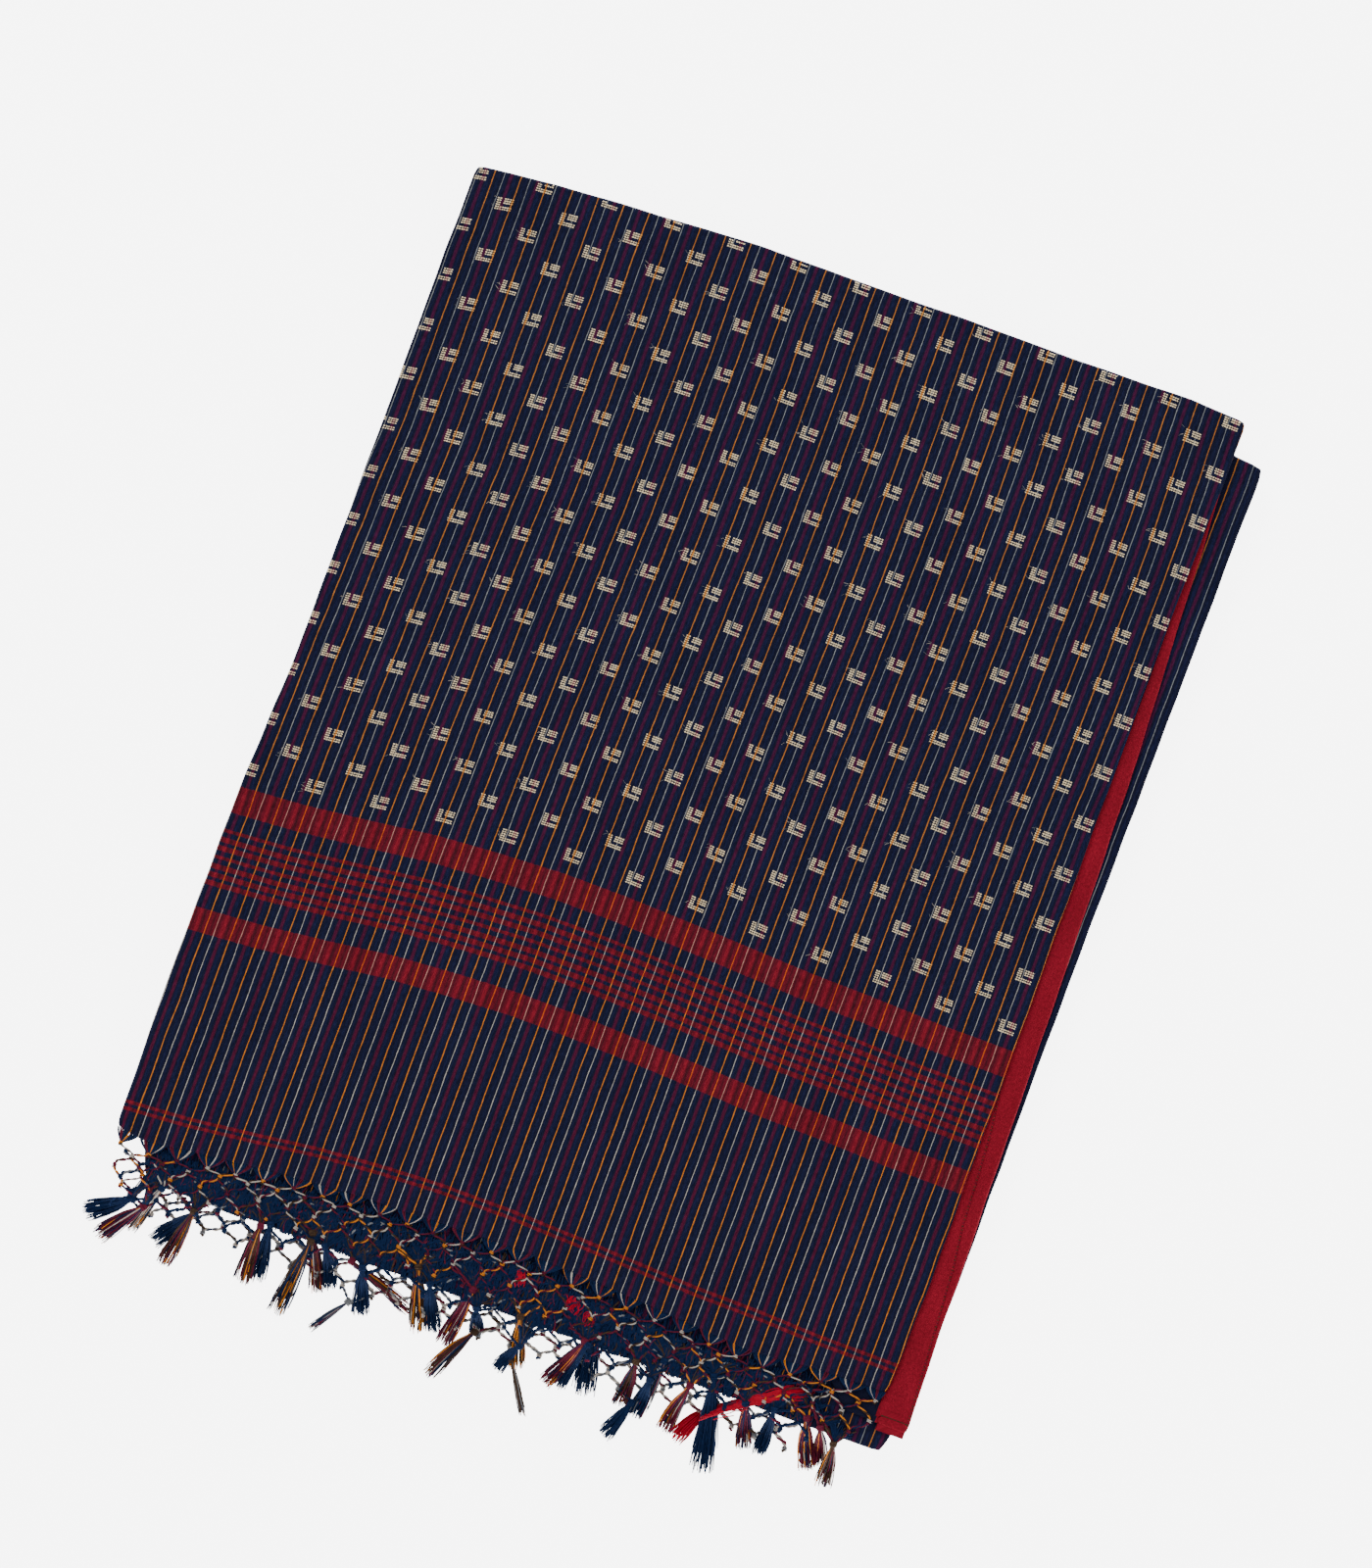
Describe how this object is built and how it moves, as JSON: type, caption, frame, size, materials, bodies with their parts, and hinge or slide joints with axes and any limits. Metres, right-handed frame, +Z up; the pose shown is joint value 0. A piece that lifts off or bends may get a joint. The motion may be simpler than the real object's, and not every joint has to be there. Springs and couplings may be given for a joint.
{
  "type": "folded saree",
  "caption": "Cotton handloom saree folded flat for a shelf, with striped leaves, a red border and a knotted net fringe with tassels.",
  "frame": {"origin": "middle of the bounding box on the flat underside, where the folded saree rests", "axes": "+X across the cloth towards the red border, +Y along the warp away from the fringe, +Z up"},
  "size_m": [0.3108, 0.4308, 0.0184],
  "materials": {
    "indigo_cotton": "plain woven handloom cotton, indigo with thin warp stripes, matt",
    "red_cotton": "plain woven handloom cotton border, red, matt",
    "net_yarn": "knotted warp yarn, mixed indigo, orange, grey and maroon",
    "tassel_yarn": "loose cut cotton yarn, indigo and mixed"
  },
  "bodies": {
    "root": {"body_leaf": "indigo_cotton", "border_hem": "red_cotton", "border_leaf": "red_cotton", "hidden_turns": "indigo_cotton", "net_lower": "net_yarn", "net_upper": "net_yarn", "pallu_leaf": "indigo_cotton", "tassel_lower_01": "tassel_yarn", "tassel_lower_02": "tassel_yarn", "tassel_lower_03": "tassel_yarn", "tassel_lower_04": "tassel_yarn", "tassel_lower_05": "tassel_yarn", "tassel_upper_01": "tassel_yarn", "tassel_upper_02": "tassel_yarn", "tassel_upper_03": "tassel_yarn", "tassel_upper_04": "tassel_yarn", "tassel_upper_05": "tassel_yarn", "tassel_upper_06": "tassel_yarn", "tassel_upper_07": "tassel_yarn", "tassel_upper_08": "tassel_yarn", "tassel_upper_09": "tassel_yarn", "tassel_upper_10": "tassel_yarn", "tassel_upper_11": "tassel_yarn", "tassel_upper_12": "tassel_yarn", "tassel_upper_13": "tassel_yarn", "tassel_upper_14": "tassel_yarn", "tassel_upper_15": "tassel_yarn", "tassel_upper_16": "tassel_yarn", "tassel_upper_17": "tassel_yarn", "tassel_upper_18": "tassel_yarn", "tassel_upper_19": "tassel_yarn", "tassel_upper_20": "tassel_yarn", "tassel_upper_21": "tassel_yarn", "tassel_upper_22": "tassel_yarn", "tassel_upper_23": "tassel_yarn"}
  },
  "joints": []
}
